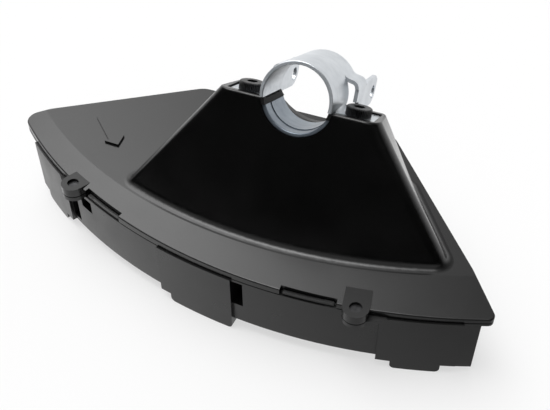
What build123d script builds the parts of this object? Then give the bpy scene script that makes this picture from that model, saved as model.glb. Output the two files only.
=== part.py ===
from build123d import *
from math import cos, radians, sin, sqrt, tan
import os

os.makedirs("parts", exist_ok=True)

# Tube and clamp. The origin is the middle of the clamped length, on the tube axis.
tube_d = 26.0
tube_tilt = 24.0
clamp_length = 22.0
sheet = 1.5

# Deck. Heights are measured from the tube axis, plan angles from straight ahead.
deck_z = -52.7
deck_t = 3.0
rim_x = 2.9
rim_front = 50.3
rim_r = 224.6
rim_left = -40.7
rim_right = 23.0
rear_y = 54.3
rear_left_x = -72.4
rear_right_x = 23.9
crease_x = -6.6
crease_front = 35.0
crease_inset = 19.2
band_slope = 9.2
seam_drop = 5.1
corner_r_left = 5.0
corner_r_right = 2.5
corner_r_rear = 10.0
band_reach = 26.0
rim_edge_r = 0.6
seam_gap = 0.5
seam_in = 1.2
seam_turn = 1.2

# Tower
tower_front_inset = 3.0
tower_left_x = -76.8
tower_right_x = 70.0
tower_rear_left_x = -45.0
tower_rear_right_x = 41.5
tower_rear_y = 25.0
tower_top_drop = 2.3
tower_top_front_half = 32.6
tower_top_rear_half = 30.5
tower_top_front_s = 9.5
tower_top_rear_s = 9.8
tower_wall = 2.8
tower_left_r = 4.0
tower_right_r = 5.0
tower_rear_r = 3.0
tower_foot_r = 4.0
tower_lip_r = 0.8
recess_depth = 2.2
recess_front_s = 6.4
recess_rear_s = 7.6
recess_half = 29.6
floor_t = 4.0
trough_wall = 3.0
tube_clear = 0.2
ridge_drop = 0.7
ridge_x = 13.4

# Clamp fasteners
bolt_d = 6.0
bolt_x = 21.9
bolt_s = 0.2
bolt_length = 18.0
bolt_head_d = 10.0
bolt_head_h = 3.4
bolt_socket = 4.0
bolt_clear = 0.4
nut_flats = 10.0
nut_h = 5.0
boss_d = 14.4
boss_bottom = -19.0
nut_clear = 0.2

# Clamp pressings
strap_rear_s = 10.0
strap_lift = 0.2
press_r = 0.4
foot_bend = 2.0
foot_half = 29.0
foot_gap = 0.3
crown_half = 52.0
shoulder_r = 4.0
shoulder_fall = 10.0
ear_bend = 2.5
channel_rear_s = 22.0
ear_x = 17.25
ear_front_s = 10.5
ear_rear_s = 40.0
ear_high = 6.0
ear_low = -6.0
ear_front_low = -1.0
ear_end_r = 6.5
ear_corner = 2.0
ear_step = 0.5
ear_stem = 2.5
ear_slope = 6.0
ear_hole_d = 5.5
ear_hole_s = 35.0
ear_hole_up = -0.8
saddle_edge = -5.2
saddle_front_s = 8.5
lip_step = 0.3
lip_s = 2.5

# Lugs, notches and skirt
mid_angle = -8.2
lug_angle = 17.7
lug_out = 1.0
lug_half = 5.2
lug_root = 9.4
lug_drop = 1.2
screw_d = 5.0
screw_head_d = 9.0
screw_head_h = 2.2
screw_sink = 1.4
lower_lug_t = 2.4
notch_in = 10.0
notch_out = 15.8
notch_depth = 2.3
tab_h = 1.2
tab_t = 1.4
tab_gap = 0.3
flange_t = 1.6
flange_w = 10.0
wall_inset = 0.6
wall_t = 2.6
wall_drop = 29.9
wall_left = -37.5
wall_right = 21.6
end_drop = 33.0
panel_step = 1.5
panel_drop = 31.1
tongue_drop = 35.2
end_panel_in = 20.1
end_panel_out = 28.1
end_tongue_in = 21.6
end_tongue_out = 26.6
mid_panel_left = -12.6
mid_panel_right = -3.5
mid_tongue_left = -11.3
slot_right = -2.3
slot_drop = 20.5
groove_left = -28.2
groove_right = -26.7
groove_drop = 27.5
window_left = -25.6
window_right = -23.6
window_top = 8.6
window_drop = 15.0
gusset_turn = 3.4
socket_depth = 11.0
socket_t = 1.2
socket_turn = 0.4
tongue_r = 2.0

# Line cutter
pad_half = 15.0
pad_angle = -9.0
pad_t = 2.8
pad_top = 9.0
pad_low = 25.0
blade_t = 1.8
blade_reach = 15.0
cutter_screw_d = 4.0
cutter_screw_pitch = 14.0
cutter_head_d = 8.0
cutter_head_h = 2.4
cutter_grip = 5.0

tube_r = tube_d / 2
panel_top = seam_drop + flange_t
rim_y = rim_r - rim_front
crease_r = rim_r - crease_inset
crease_y = crease_r - crease_front
wall_r = rim_r - wall_inset
lug_r = rim_r + lug_out
pad_flat_r = wall_r - wall_t - pad_t
cap_r = tube_r + sheet
rim_low = deck_z - seam_drop
recess_n = -tower_top_drop - recess_depth
foot_top = recess_n + sheet
half_length = clamp_length / 2

axis_dir = (0, cos(radians(tube_tilt)), -sin(radians(tube_tilt)))
normal_dir = (0, sin(radians(tube_tilt)), cos(radians(tube_tilt)))
# Looks along the tube from the operator's end: local y is away from the deck.
across = Plane(origin=(0, 0, 0), x_dir=(1, 0, 0), z_dir=(0, -axis_dir[1], -axis_dir[2]))
# Lies along the tube: local x is to the right, local y toward the cutting head.
along = Plane(origin=(0, 0, 0), x_dir=(1, 0, 0), z_dir=normal_dir)
# Stands on the tube from the side: local x toward the cutting head, local y away from the deck.
beside = Plane(origin=(0, 0, 0), x_dir=axis_dir, z_dir=(1, 0, 0))


def rim_point(angle, radius=rim_r):
    turn = radians(angle)
    return (rim_x + radius * sin(turn), rim_y - radius * cos(turn))


def rim_plane(angle, radius, z):
    turn = radians(angle)
    x, y = rim_point(angle, radius)
    return Plane(origin=(x, y, z), x_dir=(cos(turn), sin(turn), 0), z_dir=(0, 0, 1))


def crease_point(x, radius):
    return (x, crease_y - sqrt(radius * radius - (x - crease_x) ** 2))


def deck_outline():
    Line((rear_right_x, rear_y), (rear_left_x, rear_y))
    Line((rear_left_x, rear_y), rim_point(rim_left))
    ThreePointArc(rim_point(rim_left), rim_point((rim_left + rim_right) / 2), rim_point(rim_right))
    Line(rim_point(rim_right), (rear_right_x, rear_y))


def ring_face(inner, outer, left, right):
    CenterArc((rim_x, rim_y), outer, left - 90, right - left)
    CenterArc((rim_x, rim_y), inner, left - 90, right - left)
    Line(rim_point(left, inner), rim_point(left, outer))
    Line(rim_point(right, inner), rim_point(right, outer))


def tower_base_lines():
    radius = crease_r - tower_front_inset
    right = crease_point(tower_right_x, radius)
    left = crease_point(tower_left_x, radius)
    ThreePointArc(left, crease_point(0, radius), right)
    Polyline(right, (tower_rear_right_x, tower_rear_y), (tower_rear_left_x, tower_rear_y), left)


def tower_top_lines():
    Polyline(
        (-tower_top_front_half, -tower_top_front_s),
        (tower_top_front_half, -tower_top_front_s),
        (tower_top_rear_half, tower_top_rear_s),
        (-tower_top_rear_half, tower_top_rear_s),
        close=True,
    )


def lug_lines(half=lug_half):
    Line((half, 0), (half, lug_root))
    Line((half, lug_root), (-half, lug_root))
    Line((-half, lug_root), (-half, 0))
    CenterArc((0, 0), half, 180, 180)


def saddle_half():
    Polyline(
        (-2 * cap_r, saddle_edge),
        (2 * cap_r, saddle_edge),
        (2 * cap_r, -2 * cap_r),
        (-2 * cap_r, -2 * cap_r),
        close=True,
    )


lug_angles = (mid_angle - lug_angle, mid_angle + lug_angle)
notch_spans = (
    (mid_angle - notch_out, mid_angle - notch_in),
    (mid_angle + notch_in, mid_angle + notch_out),
)

# The room inside the tower, open to the underside of the deck.
with BuildPart() as hollow:
    with BuildSketch(Plane.XY.offset(deck_z - deck_t / 2)) as hollow_base:
        with BuildLine():
            tower_base_lines()
        make_face()
        offset(amount=-tower_wall, kind=Kind.INTERSECTION, mode=Mode.REPLACE)
    with BuildSketch(along.offset(-tower_top_drop)) as hollow_top:
        with BuildLine():
            tower_top_lines()
        make_face()
        offset(amount=-tower_wall, kind=Kind.INTERSECTION, mode=Mode.REPLACE)
    loft(ruled=True)
    extrude(to_extrude=hollow_base.sketch, amount=-deck_t)
    split(bisect_by=along.offset(recess_n - floor_t), keep=Keep.BOTTOM)

# The guard body: one black moulding, a sector deck with a hollow tower for the clamp.
with BuildPart() as guard_body:
    with BuildSketch(Plane.XY.offset(rim_low - 1)) as deck_plan:
        with BuildLine():
            deck_outline()
        make_face()
        fillet(deck_plan.vertices().sort_by(Axis.X)[0], corner_r_left)
        fillet(deck_plan.vertices().sort_by(Axis.X)[-1], corner_r_right)
        fillet(deck_plan.vertices().group_by(Axis.Y)[-1], corner_r_rear)
    extrude(amount=seam_drop + 2)
    with BuildSketch(Plane(origin=(crease_x, crease_y, 0), x_dir=(0, -1, 0), z_dir=(-1, 0, 0))) as deck_section:
        with BuildLine():
            Polyline(
                (0, deck_z),
                (crease_r, deck_z),
                (crease_r + band_reach, deck_z - band_reach * tan(radians(band_slope))),
                (crease_r + band_reach, rim_low),
                (crease_r + (seam_drop - deck_t) / tan(radians(band_slope)), rim_low),
                (crease_r, deck_z - deck_t),
                (0, deck_z - deck_t),
                close=True,
            )
        make_face()
    revolve(axis=Axis((crease_x, crease_y, 0), (0, 0, 1)), mode=Mode.INTERSECT)
    rim_mid = rim_point((rim_left + rim_right) / 2)
    rim_fall = sqrt((rim_mid[0] - crease_x) ** 2 + (rim_mid[1] - crease_y) ** 2) - crease_r
    rim_top = Vector(*rim_mid, deck_z - rim_fall * tan(radians(band_slope)))
    fillet(guard_body.edges().sort_by_distance(rim_top)[0], rim_edge_r)
    # The tower rises from the deck to a platform that lies along the tube.
    with BuildSketch(Plane.XY.offset(deck_z - deck_t / 2)) as tower_base:
        with BuildLine():
            tower_base_lines()
        make_face()
    with BuildSketch(along.offset(-tower_top_drop)) as tower_top:
        with BuildLine():
            tower_top_lines()
        make_face()
    loft(ruled=True)
    tower_edges = (
        (tower_left_x, None, -tower_top_front_half, -tower_top_front_s, tower_left_r),
        (tower_right_x, None, tower_top_front_half, -tower_top_front_s, tower_right_r),
        (tower_rear_left_x, tower_rear_y, -tower_top_rear_half, tower_top_rear_s, tower_rear_r),
        (tower_rear_right_x, tower_rear_y, tower_top_rear_half, tower_top_rear_s, tower_rear_r),
    )
    for foot_x, foot_y, top_x, top_s, radius in tower_edges:
        if foot_y is None:
            foot_y = crease_point(foot_x, crease_r - tower_front_inset)[1]
        top = along.from_local_coords((top_x, top_s, -tower_top_drop))
        middle = (Vector(foot_x, foot_y, deck_z) + top) / 2
        fillet(guard_body.edges().sort_by_distance(middle)[0], radius)
    top_sheet = guard_body.faces().filter_by(Axis.Z).sort_by(Axis.Z)[-1]
    fillet(top_sheet.inner_wires()[0].edges(), tower_foot_r)
    platform = guard_body.faces().sort_by_distance(along.from_local_coords((0, 0, -tower_top_drop)))[0]
    fillet(platform.outer_wire().edges(), tower_lip_r)
    add(hollow.part, mode=Mode.SUBTRACT)
    # Half-round trough under the tube, with the seat for the steel saddle.
    with BuildSketch(across.offset(-strap_rear_s)) as trough_section:
        Circle(cap_r + trough_wall)
        with BuildLine():
            Polyline(
                (-2 * cap_r, recess_n - floor_t / 2),
                (2 * cap_r, recess_n - floor_t / 2),
                (2 * cap_r, -2 * cap_r),
                (-2 * cap_r, -2 * cap_r),
                close=True,
            )
        make_face(mode=Mode.INTERSECT)
    extrude(amount=strap_rear_s + tower_top_front_s - tower_wall / 2)
    # Bosses for the clamp bolts, with pockets for the nuts.
    with BuildSketch(along.offset(boss_bottom)) as boss_plan:
        with Locations((-bolt_x, bolt_s), (bolt_x, bolt_s)):
            Circle(boss_d / 2)
    extrude(amount=recess_n - floor_t / 2 - boss_bottom)
    recess_length = recess_front_s + recess_rear_s
    with BuildSketch(along.offset(-tower_top_drop)) as recess_plan:
        for side in (-1, 1):
            with Locations((side * (recess_half + ridge_x) / 2, (recess_rear_s - recess_front_s) / 2)):
                Rectangle(recess_half - ridge_x, recess_length)
        fillet(recess_plan.vertices(), tower_lip_r)
    extrude(amount=-recess_depth, mode=Mode.SUBTRACT)
    with BuildSketch(along.offset(-tower_top_drop)) as ridge_plan:
        with Locations((0, (recess_rear_s - recess_front_s) / 2)):
            Rectangle(2 * ridge_x + 2 * tower_lip_r, recess_length)
    extrude(amount=-ridge_drop, mode=Mode.SUBTRACT)
    # The tube runs clear of the moulding, and the saddle lies in a deeper seat under it.
    with BuildSketch(across.offset(-4 * half_length)) as tube_section:
        Circle(tube_r + tube_clear)
    extrude(amount=6 * half_length, mode=Mode.SUBTRACT)
    for start, step in ((-4 * half_length, 0), (lip_s, lip_step)):
        with BuildSketch(across.offset(start)) as seat_section:
            Circle(cap_r + step)
            with BuildLine():
                saddle_half()
            make_face(mode=Mode.INTERSECT)
        extrude(amount=6 * half_length, mode=Mode.SUBTRACT)
    with BuildSketch(along.offset(boss_bottom)) as bolt_plan:
        with Locations((-bolt_x, bolt_s), (bolt_x, bolt_s)):
            Circle((bolt_d + bolt_clear) / 2)
    extrude(amount=-boss_bottom, mode=Mode.SUBTRACT)
    with BuildSketch(along.offset(boss_bottom)) as pocket_plan:
        with Locations((-bolt_x, bolt_s), (bolt_x, bolt_s)):
            RegularPolygon((nut_flats + nut_clear) / 2, 6, major_radius=False)
    extrude(amount=nut_h, mode=Mode.SUBTRACT)
    # Screw lugs and shallow notches along the rim.
    for angle in lug_angles:
        with BuildSketch(rim_plane(angle, lug_r, rim_low)) as lug_plan:
            with BuildLine():
                lug_lines()
            make_face()
        extrude(amount=seam_drop - lug_drop)
    for left, right in notch_spans:
        with BuildSketch(Plane.XY.offset(rim_low - 1)) as notch_plan:
            with BuildLine():
                ring_face(rim_r - notch_depth, rim_r + notch_depth, left, right)
            make_face()
        extrude(amount=seam_drop + 1, mode=Mode.SUBTRACT)
    for angle in lug_angles:
        with BuildSketch(rim_plane(angle, lug_r, rim_low - 1)) as lug_hole:
            Circle(screw_d / 2)
        extrude(amount=seam_drop + 1, mode=Mode.SUBTRACT)
guard_body.part.label = "guard_body"
export_step(guard_body.part, "parts/guard_body.step")

# The skirt: a second black moulding, a curved wall that hangs below the rim.
panel_spans = (
    (mid_angle - end_panel_out, mid_angle - end_panel_in),
    (mid_panel_left, mid_panel_right),
    (mid_angle + end_panel_in, mid_angle + end_panel_out),
)
tongue_spans = (
    (mid_angle - end_tongue_out, mid_angle - end_tongue_in),
    (mid_tongue_left, mid_panel_right),
    (mid_angle + end_tongue_in, mid_angle + end_tongue_out),
)
end_spans = ((wall_left, mid_angle - end_panel_out), (mid_angle + end_panel_out, wall_right))
pad_turn = radians(pad_angle)
pad_face = Plane(
    origin=(*rim_point(pad_angle, pad_flat_r), deck_z - (pad_top + pad_low) / 2),
    x_dir=(cos(pad_turn), sin(pad_turn), 0),
    z_dir=(-sin(pad_turn), cos(pad_turn), 0),
)
with BuildPart() as skirt:
    with BuildSketch(Plane.XY.offset(rim_low - flange_t)) as flange_plan:
        with BuildLine():
            deck_outline()
        make_face()
        fillet(flange_plan.vertices().sort_by(Axis.X)[0], corner_r_left)
        fillet(flange_plan.vertices().sort_by(Axis.X)[-1], corner_r_right)
        with BuildLine():
            ring_face(rim_r - flange_w, rim_r + 1, 2 * rim_left, 2 * rim_right)
        make_face(mode=Mode.INTERSECT)
    extrude(amount=flange_t - seam_gap)
    # The flange steps back at the seam, which shows as a fine dark line.
    with BuildSketch(Plane.XY.offset(rim_low - seam_gap)) as seam_plan:
        with BuildLine():
            ring_face(rim_r - flange_w, rim_r - seam_in, rim_left + seam_turn, rim_right - seam_turn)
        make_face()
    extrude(amount=seam_gap)
    with BuildSketch(Plane.XY.offset(deck_z - wall_drop)) as wall_plan:
        with BuildLine():
            ring_face(wall_r - wall_t, wall_r, wall_left, wall_right)
        make_face()
    extrude(amount=wall_drop - seam_drop - flange_t / 2)
    for left, right in end_spans:
        with BuildSketch(Plane.XY.offset(deck_z - end_drop)) as end_plan:
            with BuildLine():
                ring_face(wall_r - wall_t, wall_r, left, right)
            make_face()
        extrude(amount=end_drop - panel_top)
    for left, right in panel_spans:
        with BuildSketch(Plane.XY.offset(deck_z - panel_drop)) as panel_plan:
            with BuildLine():
                ring_face(wall_r - wall_t, wall_r + panel_step, left, right)
            make_face()
        extrude(amount=panel_drop - seam_drop - seam_gap)
    for left, right in tongue_spans:
        with BuildSketch(Plane.XY.offset(deck_z - tongue_drop)) as tongue_plan:
            with BuildLine():
                ring_face(wall_r - wall_t, wall_r + panel_step, left, right)
            make_face()
        extrude(amount=tongue_drop - panel_top)
    for span in tongue_spans:
        for angle in span:
            corner = Vector(*rim_point(angle, wall_r + (panel_step - wall_t) / 2), deck_z - tongue_drop)
            fillet(skirt.edges().sort_by_distance(corner)[0], tongue_r)
    # Flat inside the middle panel for the line cutter.
    with BuildSketch(rim_plane(pad_angle, pad_flat_r, deck_z - pad_low)) as pad_plan:
        with BuildLine():
            Polyline(
                (-pad_half, 0),
                (pad_half, 0),
                (pad_half, pad_flat_r + wall_t / 2 - wall_r),
                (-pad_half, pad_flat_r + wall_t / 2 - wall_r),
                close=True,
            )
        make_face()
    extrude(amount=pad_low - pad_top)
    with BuildSketch(pad_face) as pad_holes:
        with Locations((-cutter_screw_pitch / 2, 0), (cutter_screw_pitch / 2, 0)):
            Circle(cutter_screw_d / 2)
    extrude(amount=-cutter_grip, mode=Mode.SUBTRACT)
    # Lugs under those of the deck, braced on their outer side.
    for angle in lug_angles:
        with BuildSketch(rim_plane(angle, lug_r, rim_low - lower_lug_t)) as lower_lug:
            with BuildLine():
                lug_lines()
            make_face()
        extrude(amount=lower_lug_t - seam_gap)
        with BuildSketch(rim_plane(angle, lug_r, rim_low - seam_gap)) as lug_land:
            with BuildLine():
                lug_lines(lug_half - seam_in)
            make_face()
        extrude(amount=seam_gap)
        turn = gusset_turn if angle > mid_angle else -gusset_turn
        with BuildSketch(Plane.XY.offset(rim_low - lower_lug_t)) as gusset_plan:
            with BuildLine():
                Polyline(
                    rim_point(angle + turn / 3, lug_r + lug_half / 2),
                    rim_point(angle + turn, wall_r + panel_step),
                    rim_point(angle + turn, wall_r - wall_t / 2),
                    rim_point(angle, wall_r - wall_t / 2),
                    rim_point(angle, lug_r + lug_half / 2),
                    close=True,
                )
            make_face()
        extrude(amount=lower_lug_t - seam_gap)
    for left, right in notch_spans:
        with BuildSketch(Plane.XY.offset(rim_low)) as tab_plan:
            with BuildLine():
                inner = rim_r - notch_depth + tab_gap
                ring_face(inner, inner + tab_t, left + tab_gap, right - tab_gap)
            make_face()
        extrude(amount=tab_h)
    # Slot beside the middle panel, groove and window by the left panel, each with a closed socket behind.
    openings = (
        (mid_panel_right, slot_right, panel_top, slot_drop),
        (groove_left, groove_right, window_top, groove_drop),
        (window_left, window_right, window_top, window_drop),
    )
    for left, right, high, low in openings:
        with BuildSketch(Plane.XY.offset(deck_z - low - socket_t)) as socket_plan:
            with BuildLine():
                ring_face(wall_r - socket_depth, wall_r - wall_t / 2, left - socket_turn, right + socket_turn)
            make_face()
        extrude(amount=low + socket_t - seam_drop - seam_gap)
    for angle in lug_angles:
        x, y = rim_point(angle, lug_r)
        low = rim_low - lower_lug_t
        with BuildSketch(Plane(origin=(x, y, 0), x_dir=(1, 0, 0), z_dir=(0, -1, 0))) as sink_section:
            with BuildLine():
                Polyline(
                    (0, low - 1),
                    (screw_head_d / 2, low - 1),
                    (screw_head_d / 2, low),
                    (screw_d / 2, low + screw_head_h),
                    (screw_d / 2, rim_low + 1),
                    (0, rim_low + 1),
                    close=True,
                )
            make_face()
        revolve(axis=Axis((x, y, 0), (0, 0, 1)), mode=Mode.SUBTRACT)
    for left, right, high, low in openings:
        with BuildSketch(Plane.XY.offset(deck_z - low)) as opening_plan:
            with BuildLine():
                ring_face(wall_r - socket_depth + socket_t, wall_r + 2 * panel_step, left, right)
            make_face()
        extrude(amount=low - high, mode=Mode.SUBTRACT)
skirt.part.label = "skirt"
export_step(skirt.part, "parts/skirt.step")

# The clamp cap: one steel pressing, a strap over the tube, bolted feet and a rear channel with ears.
bend_n = foot_top + foot_bend
bend_x = sqrt(cap_r * cap_r - bend_n * bend_n) + foot_bend
crown_r = tube_r + sheet / 2
crown_turn = radians(crown_half)
with BuildPart() as clamp_cap:
    with BuildSketch(across.offset(-strap_rear_s)) as strap_section:
        Circle(cap_r)
        Circle(tube_r, mode=Mode.SUBTRACT)
        with BuildLine():
            Polyline(
                (-2 * cap_r, strap_lift - tower_top_drop),
                (2 * cap_r, strap_lift - tower_top_drop),
                (2 * cap_r, 2 * cap_r),
                (-2 * cap_r, 2 * cap_r),
                close=True,
            )
        make_face(mode=Mode.INTERSECT)
    extrude(amount=strap_rear_s + half_length)
    front = clamp_cap.faces().sort_by(Axis((0, 0, 0), axis_dir))[0]
    fillet(front.edges().filter_by(GeomType.CIRCLE), press_r)
    with BuildSketch(across.offset(foot_gap - recess_rear_s)) as foot_section:
        with BuildLine():
            CenterArc((bend_x, bend_n), foot_bend, 180, 90)
            CenterArc((bend_x, bend_n), foot_bend + sheet, 180, 90)
            Line((bend_x - foot_bend, bend_n), (bend_x - foot_bend - sheet, bend_n))
            Polyline((bend_x, foot_top), (foot_half, foot_top), (foot_half, recess_n), (bend_x, recess_n))
        make_face()
        mirror(about=Plane.YZ)
    extrude(amount=recess_front_s + recess_rear_s - 2 * foot_gap)
    with BuildSketch(along.offset(recess_n - 1)) as foot_holes:
        with Locations((-bolt_x, bolt_s), (bolt_x, bolt_s)):
            Circle((bolt_d + bolt_clear) / 2)
    extrude(amount=sheet + 2, mode=Mode.SUBTRACT)
    with BuildSketch(across.offset(-channel_rear_s)) as channel_section:
        with BuildLine():
            CenterArc((0, 0), crown_r, 90 - crown_half, crown_half)
            shoulder = JernArc(
                (crown_r * sin(crown_turn), crown_r * cos(crown_turn)),
                (cos(crown_turn), -sin(crown_turn)),
                shoulder_r,
                crown_half - shoulder_fall,
            )
            fall = radians(shoulder_fall)
            run = (ear_x - ear_bend * (1 - sin(fall)) - (shoulder @ 1).X) / cos(fall)
            flat = PolarLine(shoulder @ 1, run, -shoulder_fall)
            edge_bend = JernArc(flat @ 1, flat % 1, ear_bend, shoulder_fall - 90)
        trace(line_width=sheet)
        mirror(about=Plane.YZ)
    extrude(amount=channel_rear_s - strap_rear_s)
    for side in (-1, 1):
        with BuildSketch(beside.offset(side * ear_x - sheet / 2)) as ear_side:
            with BuildLine():
                bend_low = (edge_bend @ 1).Y
                Polyline(
                    (ear_rear_s, ear_high - ear_corner),
                    (ear_rear_s - 2 * ear_corner, ear_high),
                    (channel_rear_s + ear_corner, ear_high - ear_step),
                    (channel_rear_s, bend_low + ear_step),
                    (channel_rear_s, bend_low),
                    (ear_front_s, bend_low),
                    (ear_front_s, ear_front_low),
                    (ear_front_s + ear_stem, ear_front_low),
                    (ear_front_s + ear_stem + ear_slope, ear_low),
                    (ear_rear_s - ear_end_r, ear_low),
                )
                CenterArc((ear_rear_s - ear_end_r, ear_low + ear_end_r), ear_end_r, -90, 90)
                Line((ear_rear_s, ear_low + ear_end_r), (ear_rear_s, ear_high - ear_corner))
            make_face()
            with Locations((ear_hole_s, ear_hole_up)):
                Circle(ear_hole_d / 2, mode=Mode.SUBTRACT)
        extrude(amount=sheet)
clamp_cap.part.label = "clamp_cap"
export_step(clamp_cap.part, "parts/clamp_cap.step")

# The clamp saddle: a steel half shell under the tube, belled at the operator's end.
with BuildPart() as clamp_saddle:
    for start, length, step in ((-half_length, half_length + lip_s, 0), (lip_s, saddle_front_s - lip_s, lip_step)):
        with BuildSketch(across.offset(start)) as saddle_section:
            Circle(cap_r + step)
            Circle(tube_r + step, mode=Mode.SUBTRACT)
            with BuildLine():
                saddle_half()
            make_face(mode=Mode.INTERSECT)
        extrude(amount=length)
    front = clamp_saddle.faces().sort_by(Axis((0, 0, 0), axis_dir))[0]
    fillet(front.edges().filter_by(GeomType.CIRCLE), press_r)
clamp_saddle.part.label = "clamp_saddle"
export_step(clamp_saddle.part, "parts/clamp_saddle.step")

# Two socket head screws that pull the cap down on the tube.
with BuildPart() as clamp_bolts:
    with BuildSketch(along.offset(foot_top)) as head_plan:
        with Locations((-bolt_x, bolt_s), (bolt_x, bolt_s)):
            Circle(bolt_head_d / 2)
    extrude(amount=bolt_head_h)
    head_tops = clamp_bolts.faces().sort_by(Axis((0, 0, 0), normal_dir))[-2:]
    fillet(head_tops.edges(), bolt_head_h / 5)
    with BuildSketch(along.offset(foot_top - bolt_length)) as shank_plan:
        with Locations((-bolt_x, bolt_s), (bolt_x, bolt_s)):
            Circle(bolt_d / 2)
    extrude(amount=bolt_length)
    with BuildSketch(along.offset(foot_top + bolt_head_h)) as socket_plan:
        with Locations((-bolt_x, bolt_s), (bolt_x, bolt_s)):
            RegularPolygon(bolt_socket / 2, 6, major_radius=False)
    extrude(amount=-bolt_head_h * 0.6, mode=Mode.SUBTRACT)
clamp_bolts.part.label = "clamp_bolts"
export_step(clamp_bolts.part, "parts/clamp_bolts.step")

# Two hexagon nuts in the pockets of the bosses.
with BuildPart() as clamp_nuts:
    with BuildSketch(along.offset(boss_bottom)) as nut_plan:
        with Locations((-bolt_x, bolt_s), (bolt_x, bolt_s)):
            RegularPolygon(nut_flats / 2, 6, major_radius=False)
            Circle(bolt_d / 2, mode=Mode.SUBTRACT)
    extrude(amount=nut_h)
clamp_nuts.part.label = "clamp_nuts"
export_step(clamp_nuts.part, "parts/clamp_nuts.step")

# Two countersunk screws, put in from below, that join the skirt to the deck.
with BuildPart() as skirt_screws:
    for angle in lug_angles:
        x, y = rim_point(angle, lug_r)
        low = rim_low - lower_lug_t
        with BuildSketch(Plane(origin=(x, y, 0), x_dir=(1, 0, 0), z_dir=(0, -1, 0))) as screw_section:
            with BuildLine():
                Polyline(
                    (0, low),
                    (screw_head_d / 2, low),
                    (screw_d / 2, low + screw_head_h),
                    (screw_d / 2, deck_z - lug_drop - screw_sink),
                    (0, deck_z - lug_drop - screw_sink),
                    close=True,
                )
            make_face()
        revolve(axis=Axis((x, y, 0), (0, 0, 1)))
skirt_screws.part.label = "skirt_screws"
export_step(skirt_screws.part, "parts/skirt_screws.step")

# The line cutter: a bent steel blade on the inside of the skirt.
with BuildPart() as line_cutter:
    with BuildSketch(rim_plane(pad_angle, pad_flat_r, deck_z - pad_low)) as blade_plan:
        with BuildLine():
            Polyline(
                (-pad_half, 0),
                (pad_half, 0),
                (pad_half, blade_reach),
                (pad_half - blade_t, blade_reach),
                (pad_half - blade_t, blade_t),
                (-pad_half, blade_t),
                close=True,
            )
        make_face()
    extrude(amount=pad_low - pad_top)
    with BuildSketch(pad_face) as blade_holes:
        with Locations((-cutter_screw_pitch / 2, 0), (cutter_screw_pitch / 2, 0)):
            Circle((cutter_screw_d + bolt_clear) / 2)
    extrude(amount=blade_t, mode=Mode.SUBTRACT)
line_cutter.part.label = "line_cutter"
export_step(line_cutter.part, "parts/line_cutter.step")

# Two pan head screws that hold the line cutter to the skirt.
with BuildPart() as cutter_screws:
    with BuildSketch(pad_face.offset(-cutter_grip)) as cutter_shanks:
        with Locations((-cutter_screw_pitch / 2, 0), (cutter_screw_pitch / 2, 0)):
            Circle(cutter_screw_d / 2)
    extrude(amount=cutter_grip + blade_t)
    with BuildSketch(pad_face.offset(blade_t)) as cutter_heads:
        with Locations((-cutter_screw_pitch / 2, 0), (cutter_screw_pitch / 2, 0)):
            Circle(cutter_head_d / 2)
    extrude(amount=cutter_head_h)
cutter_screws.part.label = "cutter_screws"
export_step(cutter_screws.part, "parts/cutter_screws.step")
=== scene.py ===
import math

import bpy
from mathutils import Matrix, Vector


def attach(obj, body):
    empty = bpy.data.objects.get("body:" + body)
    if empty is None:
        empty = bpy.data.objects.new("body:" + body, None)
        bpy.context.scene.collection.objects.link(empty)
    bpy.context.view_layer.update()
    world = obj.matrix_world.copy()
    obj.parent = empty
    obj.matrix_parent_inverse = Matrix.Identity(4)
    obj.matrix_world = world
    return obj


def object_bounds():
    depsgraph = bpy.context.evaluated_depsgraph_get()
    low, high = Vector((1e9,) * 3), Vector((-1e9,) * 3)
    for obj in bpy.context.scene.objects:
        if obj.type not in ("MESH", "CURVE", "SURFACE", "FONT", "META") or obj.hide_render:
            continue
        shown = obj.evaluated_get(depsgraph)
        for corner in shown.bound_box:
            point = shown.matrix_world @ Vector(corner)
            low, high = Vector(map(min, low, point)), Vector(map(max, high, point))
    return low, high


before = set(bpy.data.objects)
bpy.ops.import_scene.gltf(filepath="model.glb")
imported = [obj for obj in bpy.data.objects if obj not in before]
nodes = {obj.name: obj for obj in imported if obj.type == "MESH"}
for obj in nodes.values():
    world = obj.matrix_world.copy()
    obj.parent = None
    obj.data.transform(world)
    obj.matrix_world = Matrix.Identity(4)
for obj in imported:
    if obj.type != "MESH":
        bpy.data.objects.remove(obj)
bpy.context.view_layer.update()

# Guard body: one black moulding, a sector deck with a hollow clamp tower and two screw lugs.
# Its faint sheen varies in broad soft patches over a very fine grain, and is duller on the lug tops
# and in the trough along the tube.
tube_tilt = math.radians(24.0)
tube_axis = (0.0, -math.cos(tube_tilt), math.sin(tube_tilt))
lug_tops = ((0.04013, -0.04821, -0.0539), (-0.09564, -0.02864, -0.0539))


class Sock:
    def __init__(self, tree, socket):
        self.tree = tree
        self.socket = socket

    def node(self, kind, inputs, output=0, **settings):
        made = self.tree.nodes.new(kind)
        for key, value in settings.items():
            setattr(made, key, value)
        for key, value in inputs.items():
            if isinstance(value, Sock):
                self.tree.links.new(value.socket, made.inputs[key])
            else:
                made.inputs[key].default_value = value
        return Sock(self.tree, made.outputs[output])

    def maths(self, operation, a, b=0.0):
        return self.node("ShaderNodeMath", {0: a, 1: b}, operation=operation)

    def __add__(self, other):
        return self.maths("ADD", self, other)

    def __radd__(self, other):
        return self.maths("ADD", other, self)

    def __sub__(self, other):
        return self.maths("SUBTRACT", self, other)

    def __rsub__(self, other):
        return self.maths("SUBTRACT", other, self)

    def __mul__(self, other):
        return self.maths("MULTIPLY", self, other)

    def __rmul__(self, other):
        return self.maths("MULTIPLY", other, self)

    def blend(self, low, high):
        return self.node("ShaderNodeMix", {"Factor": self, "A": low, "B": high}, 2, data_type="RGBA")


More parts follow.
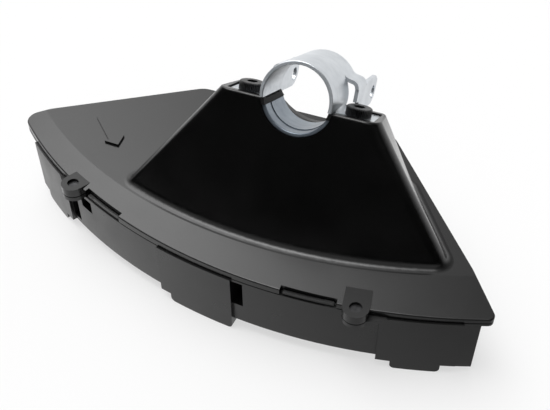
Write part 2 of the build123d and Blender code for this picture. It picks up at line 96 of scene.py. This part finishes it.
def new_material(name):
    material = bpy.data.materials.new(name)
    material.use_nodes = True
    tree = material.node_tree
    shader = next(n for n in tree.nodes if n.type == "BSDF_PRINCIPLED")
    place = Sock(tree, tree.nodes.new("ShaderNodeTexCoord").outputs["Object"])
    return material, tree, shader, place


def noise(place, scale, detail=3.0):
    settings = {"Vector": place, "Scale": scale, "Detail": detail, "Roughness": 0.55}
    return place.node("ShaderNodeTexNoise", settings)


def ramp(value, low, high):
    return value.node("ShaderNodeMapRange", {"Value": value, "From Min": low, "From Max": high})


def patches(place, scale, detail=3.0):
    return ramp(noise(place, scale, detail), 0.3, 0.7)


def dot(place, way):
    return place.node("ShaderNodeVectorMath", {0: place, 1: way}, 1, operation="DOT_PRODUCT")


def facing(tree, way):
    return dot(Sock(tree, tree.nodes.new("ShaderNodeNewGeometry").outputs["Normal"]), way)


def bump(height, strength, distance):
    return height.node("ShaderNodeBump", {"Height": height, "Strength": strength, "Distance": distance})


def feed(tree, shader, **sockets):
    for key, value in sockets.items():
        tree.links.new(value.socket, shader.inputs[key.replace("_", " ")])


def grey(level):
    return (level, level, level, 1.0)


def black_plastic(name, dark, light, smooth, dull):
    material, tree, shader, place = new_material(name)
    shader.inputs["IOR"].default_value = 1.5
    turned = place.node("ShaderNodeVectorMath", {0: place, 1: tube_axis}, operation="CROSS_PRODUCT")
    from_axis = turned.node("ShaderNodeVectorMath", {0: turned}, 1, operation="LENGTH")
    sheen = patches(place, 60.0) * (dull - smooth) + smooth
    level = ramp(facing(tree, (0.0, 0.0, 1.0)), 0.9965, 0.9985)
    for lug in lug_tops:
        reach = place.node("ShaderNodeVectorMath", {0: place, 1: lug}, 1, operation="DISTANCE")
        sheen = sheen + ramp(reach, 0.0130, 0.0125) * level * 0.35
    feed(
        tree,
        shader,
        Base_Color=patches(place, 28.0).blend(grey(dark), grey(light)),
        Roughness=sheen + ramp(from_axis, 0.0148, 0.0140) * 0.5,
        Normal=bump(noise(place, 2600.0, 2.0), 0.12, 0.0002),
    )
    return material


def wear(node, material):
    nodes[node].data.materials.clear()
    nodes[node].data.materials.append(material)


body_plastic = black_plastic("body_plastic", 0.003, 0.005, 0.16, 0.22)
wear("guard_body", body_plastic)

# Direction arrow: a plain block arrow that stands a millimetre proud of the flat deck, in the same
# moulding. Its top has the sheen of the deck and only its upright edges show, dark towards the rim.
arrow_low = -0.0529
arrow_top = -0.0517
arrow_tip = Vector((-0.0890, -0.0008))
arrow_ahead = Vector((0.743, -0.669))
arrow_aside = Vector((0.669, 0.743))
arrow_length = 0.0245
head_length = 0.0054
head_half = 0.0046
shaft_half = 0.0026
outline = (
    (0.0, 0.0),
    (head_length, head_half),
    (head_length, shaft_half),
    (arrow_length, shaft_half),
    (arrow_length, -shaft_half),
    (head_length, -shaft_half),
    (head_length, -head_half),
)
points = []
for height in (arrow_low, arrow_top):
    for behind, beside in outline:
        spot = arrow_tip - arrow_ahead * behind + arrow_aside * beside
        points.append((spot.x, spot.y, height))
corners = len(outline)
faces = [tuple(range(corners, 2 * corners)), tuple(reversed(range(corners)))]
for corner in range(corners):
    after = (corner + 1) % corners
    faces.append((corner, after, after + corners, corner + corners))
arrow_mesh = bpy.data.meshes.new("direction_arrow")
arrow_mesh.from_pydata(points, [], faces)
arrow = bpy.data.objects.new("direction_arrow", arrow_mesh)
bpy.context.scene.collection.objects.link(arrow)
arrow_mesh.materials.append(body_plastic)
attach(arrow, "root")

# Skirt: the second moulding, a curved wall under the rim with raised panels.
# It is the same black as the body, but a little duller.
wear("skirt", black_plastic("skirt_plastic", 0.006, 0.009, 0.26, 0.36))


# Clamp cap and saddle: zinc-plated sheet steel with a faint blue cast and soft marks from rolling.
# The cut edges that face along the tube are rougher, and the saddle is painted much darker than the cap, as
# painted shade for its place down in the trough.
def metal(name):
    material, tree, shader, place = new_material(name)
    shader.inputs["Metallic"].default_value = 1.0
    return material, tree, shader, place


def sheet_steel(name, dark, light, smooth, dull):
    material, tree, shader, place = metal(name)
    stretched = place.node("ShaderNodeMapping", {"Vector": place, "Scale": (1.0, 6.0, 6.0)})
    streaks = noise(stretched, 90.0, 4.0)
    cut_edge = ramp(facing(tree, tube_axis), 0.90, 0.97)
    feed(
        tree,
        shader,
        Base_Color=patches(place, 120.0).blend((*dark, 1.0), (*light, 1.0)),
        Roughness=ramp(streaks, 0.3, 0.7) * (dull - smooth) + smooth + cut_edge * 0.4,
        Normal=bump(streaks, 0.08, 0.0003),
    )
    return material


wear("clamp_cap", sheet_steel("cap_steel", (0.58, 0.61, 0.64), (0.68, 0.71, 0.74), 0.30, 0.44))
# painted shade: the saddle has the cap's zinc steel, given a much darker colour for where it lies in the
# trough
wear("clamp_saddle", sheet_steel("saddle_steel", (0.19, 0.22, 0.26), (0.27, 0.31, 0.35), 0.28, 0.40))


# Clamp bolts: two socket head screws with a black oxide finish, square to the tube.
# The sides of their heads are knurled in fine upright ridges and their shanks carry a thread.
def split(place):
    parts = place.tree.nodes.new("ShaderNodeSeparateXYZ")
    place.tree.links.new(place.socket, parts.inputs[0])
    return [Sock(place.tree, parts.outputs[axis]) for axis in "XYZ"]


bolt_out = 0.0219
bolt_behind = 0.0002
knurl_ridges = 44.0
thread_pitch = 0.001
black_steel, tree, shader, place = metal("black_steel")
along_x, along_y, along_z = split(place)
outward = place.maths("ABSOLUTE", along_x) - bolt_out
backward = along_y * math.cos(tube_tilt) - along_z * math.sin(tube_tilt) - bolt_behind
rise = along_y * math.sin(tube_tilt) + along_z * math.cos(tube_tilt)
spread = place.maths("SQRT", outward * outward + backward * backward)
head_side = ramp(spread, 0.0045, 0.0049)
shank = ramp(spread, 0.0033, 0.0031) * ramp(rise, -0.004, -0.005)
ridges = place.maths("SINE", place.maths("ARCTAN2", backward, outward) * knurl_ridges) * head_side
threads = place.maths("SINE", rise * (math.tau / thread_pitch)) * shank
feed(
    tree,
    shader,
    Base_Color=patches(place, 260.0).blend((0.020, 0.020, 0.021, 1.0), (0.045, 0.045, 0.046, 1.0)),
    Roughness=patches(place, 400.0) * 0.14 + 0.30,
    Normal=bump(ridges + threads, 0.7, 0.0003),
)
wear("clamp_bolts", black_steel)

# Clamp nuts: plain hexagon nuts in dull zinc, held in the pockets under the platform.
# They show only from below.
wear("clamp_nuts", sheet_steel("nut_steel", (0.42, 0.43, 0.45), (0.50, 0.51, 0.53), 0.36, 0.48))


# Skirt screws and cutter screws: dull darkened steel, each head with a cross recess for a driver.
# The recess is a sunk cross in the bump, painted at the darkest tone as painted shade, and the other ends
# of the shanks are plain.
def driven_screws(name, centres, first, second, side):
    material, tree, shader, place = metal(name)
    bars = []
    for centre in centres:
        offset = place.node("ShaderNodeVectorMath", {0: place, 1: centre}, operation="SUBTRACT")
        spans = [place.maths("ABSOLUTE", dot(offset, way)) for way in (first, second)]
        head = ramp(dot(offset, side), -0.0009, -0.0007)
        for across, length in (spans, spans[::-1]):
            bars.append(ramp(across, 0.0007, 0.0005) * ramp(length, 0.0024, 0.0021) * head)
    cross = sum(bars[1:], bars[0])
    # painted shade: the cross recess takes the darkest colour
    recess_shade_and_tone = patches(place, 260.0) * (1.0 - cross)
    feed(
        tree,
        shader,
        Base_Color=recess_shade_and_tone.blend((0.030, 0.030, 0.031, 1.0), (0.090, 0.090, 0.093, 1.0)),
        Roughness=patches(place, 400.0) * 0.14 + 0.42,
        Normal=bump(0.0 - cross, 0.8, 0.0006),
    )
    return material


skirt_heads = ((0.04013, -0.04821, -0.0602), (-0.09564, -0.02864, -0.0602))
wear("skirt_screws", driven_screws("screw_steel", skirt_heads, (1, 0, 0), (0, 1, 0), (0, 0, -1)))
cutter_heads = ((-0.023725, -0.038556, -0.0697), (-0.037554, -0.036366, -0.0697))
cutter_ways = ((0.98769, -0.15643, 0), (0, 0, 1), (0.15643, 0.98769, 0))
wear("cutter_screws", driven_screws("cutter_screw_steel", cutter_heads, *cutter_ways))

# Line cutter: a small ground and hardened blade inside the skirt.
# It is brighter and smoother than the nuts.
wear("line_cutter", sheet_steel("blade_steel", (0.40, 0.40, 0.41), (0.50, 0.50, 0.52), 0.26, 0.40))

# Floor: a wide white table that keeps a faint shadow of the guard.
# Its glow, seen in the gloss of the guard, is painted light by place: white behind and on the left, and
# dark in front.
floor_half = 4.0
floor_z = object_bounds()[0].z - 0.0003
floor_corners = [(x * floor_half, y * floor_half, floor_z) for x, y in ((-1, -1), (1, -1), (1, 1), (-1, 1))]
floor_mesh = bpy.data.meshes.new("floor")
floor_mesh.from_pydata(floor_corners, [], [(0, 1, 2, 3)])
floor = bpy.data.objects.new("floor", floor_mesh)
bpy.context.scene.collection.objects.link(floor)
floor_material, tree, shader, place = new_material("floor_white")
shader.inputs["Base Color"].default_value = grey(0.8)
shader.inputs["Roughness"].default_value = 0.9
path = tree.nodes.new("ShaderNodeLightPath")
camera_ray = Sock(tree, path.outputs["Is Camera Ray"])
mirrored = Sock(tree, path.outputs["Is Glossy Ray"]) + Sock(tree, path.outputs["Is Transmission Ray"])
seen = camera_ray * 0.6 + mirrored
reach = place.node("ShaderNodeVectorMath", {0: place}, 1, operation="LENGTH")
along_x, along_y, along_z = split(place)
# painted light and shade in reflections: grey near the guard on the right, dark further in front
near = (1.0 - ramp(reach, 0.18, 0.32)) * (ramp(along_x, 0.09, -0.06) * 0.58 + 0.42)
painted_glow = 1.0 - ramp(along_y, 0.01, -0.04) * (1.0 - near)
shade = camera_ray + painted_glow * (1.0 - camera_ray)
glow = seen.node("ShaderNodeEmission", {"Color": shade.blend(grey(0.005), grey(1.0)), "Strength": 1.0})
shown = seen.node("ShaderNodeMixShader", {0: seen, 1: Sock(tree, shader.outputs[0]), 2: glow})
surface = next(n for n in tree.nodes if n.type == "OUTPUT_MATERIAL").inputs["Surface"]
tree.links.new(shown.socket, surface)
floor_mesh.materials.append(floor_material)

# Studio: a wide soft lamp overhead on the left, a soft strip right above, a weak fill in front
# and a white backdrop behind. The front horizon is dark, and the ground that is seen is white.
world = bpy.data.worlds.new("studio")
bpy.context.scene.world = world
world.use_nodes = True
tree = world.node_tree
back = next(n for n in tree.nodes if n.type == "BACKGROUND")
across, rear, high = split(Sock(tree, tree.nodes.new("ShaderNodeTexCoord").outputs["Generated"]))
toward = across * -0.497 + rear * 0.348 + high * 0.795
lamp = toward.maths("EXPONENT", (toward - 1.0) * 13.1) * 4.0
aside = (across + 0.2) * 2.9
ahead = (rear + 0.05) * 5.0
strip = high.maths("EXPONENT", 0.0 - aside * aside - ahead * ahead) * ramp(high, 0.0, 0.3) * 7.5
fill = ramp(high, 0.25, 0.6) * (1.0 - ramp(rear, -0.5, -0.1)) * 0.5
backdrop = ramp(rear, -0.1, 0.6) * (1.0 - ramp(high, 0.15, 0.55) * 0.65)
light = lamp + strip + fill + backdrop + 0.005
camera_ray = Sock(tree, tree.nodes.new("ShaderNodeLightPath").outputs["Is Camera Ray"])
strength = light + camera_ray * (1.0 - light)
tree.links.new(strength.socket, back.inputs["Strength"])
back.inputs["Color"].default_value = grey(1.0)
bpy.context.scene.view_settings.view_transform = "Standard"

# Camera: it looks down on the guard from the front right, at the photo's place.
# It was fitted to the clamp, the rim and the seam.
camera_data = bpy.data.cameras.new("camera")
camera_data.sensor_width = 36.0
camera_data.lens = 55.13
camera_data.shift_x = 0.0021
camera_data.shift_y = -0.0014
camera_data.clip_start = 0.01
camera_data.clip_end = 20.0
camera = bpy.data.objects.new("camera", camera_data)
bpy.context.scene.collection.objects.link(camera)
eye = Vector((0.08981, -0.24605, 0.19103))
away = Vector((0.27960808, -0.66890282, 0.68875855)).normalized()
right = Vector((0.92388533, 0.38265399, -0.0034373)).normalized()
turn = Matrix((right, away.cross(right), away)).transposed()
camera.matrix_world = Matrix.Translation(eye) @ turn.to_4x4()
bpy.context.scene.camera = camera
